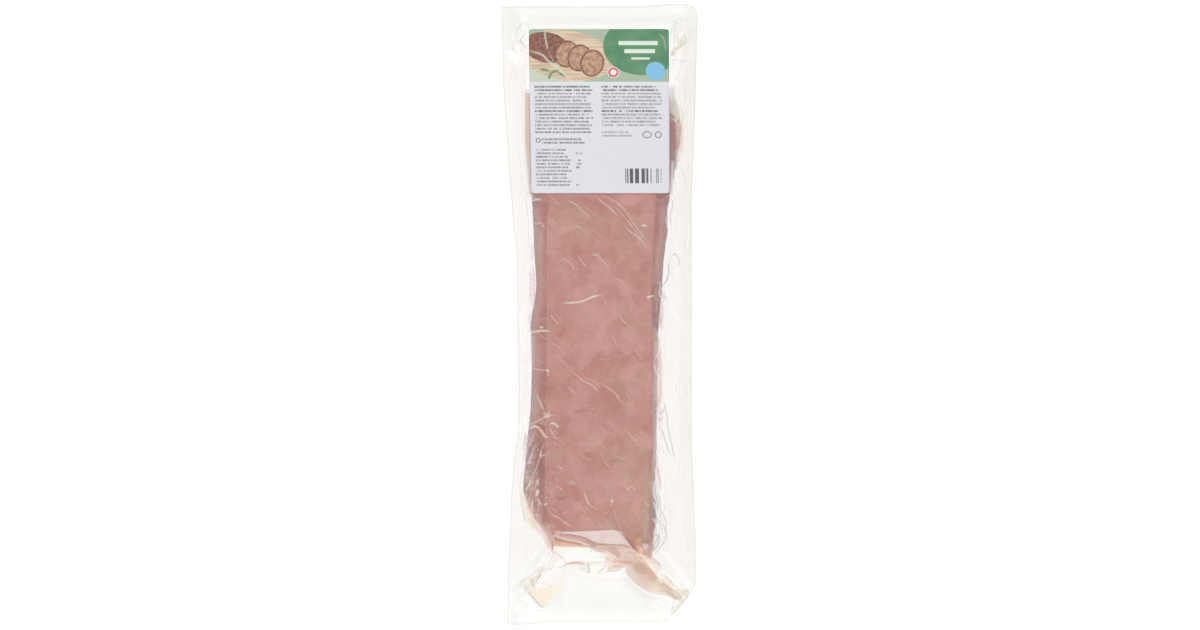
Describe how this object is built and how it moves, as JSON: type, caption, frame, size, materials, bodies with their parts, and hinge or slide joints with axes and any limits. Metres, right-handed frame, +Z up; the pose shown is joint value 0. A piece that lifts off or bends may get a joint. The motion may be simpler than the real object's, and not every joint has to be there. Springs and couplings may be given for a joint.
{
  "type": "vacuum-packed pork loin fillet",
  "caption": "Whole salted pork loin fillet in a clear deep-drawn vacuum pack with a flat sealed margin and a large paper label, lying label side up.",
  "frame": {"origin": "on the table under the middle of the pack's outline", "axes": "+X right across the pack seen from above with the labelled end up, +Y along the pack to the labelled end, +Z up out of the label side"},
  "size_m": [0.1405, 0.4449, 0.0458],
  "materials": {
    "wrapped_meat": "clear glossy film drawn tight over pale pink salted meat",
    "label_paper": "semi-gloss printed paper label"
  },
  "bodies": {
    "root": {"bag": "wrapped_meat", "label": "label_paper"}
  },
  "joints": []
}
